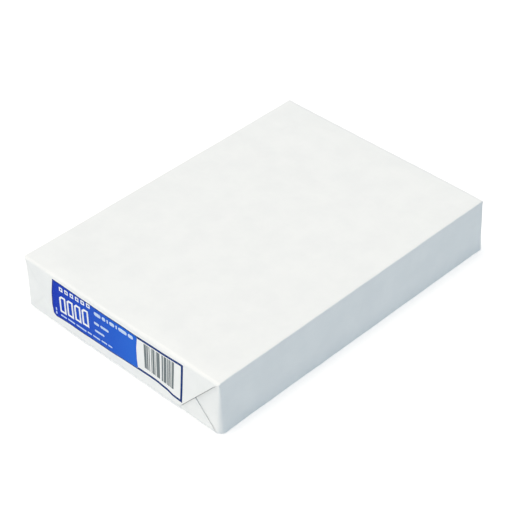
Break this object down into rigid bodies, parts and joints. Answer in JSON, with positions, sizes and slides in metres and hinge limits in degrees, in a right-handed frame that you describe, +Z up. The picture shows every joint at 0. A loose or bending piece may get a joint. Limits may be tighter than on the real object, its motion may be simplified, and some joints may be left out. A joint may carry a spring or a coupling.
{
  "type": "ream of paper",
  "caption": "Sealed ream of A4 copier paper in a folded paper wrapper, with a plain blue and white printed panel on one end.",
  "frame": {"origin": "centre of the underside, on the surface that the ream lies on", "axes": "+Z up, +X across the 210 mm width of the sheets, +Y along their 297 mm length; the end with the printed panel faces -Y"},
  "size_m": [0.2116, 0.3, 0.0499],
  "materials": {
    "wrapper_paper": "smooth coated paper, slightly satin",
    "panel_blue": "printed ink, deep royal blue paling to mid blue",
    "panel_navy": "printed ink, dark navy border",
    "panel_grey": "printed ink, mid grey bars",
    "panel_white": "bare paper left white in the print"
  },
  "bodies": {
    "root": {"wrapped_ream": "wrapper_paper"}
  },
  "joints": []
}
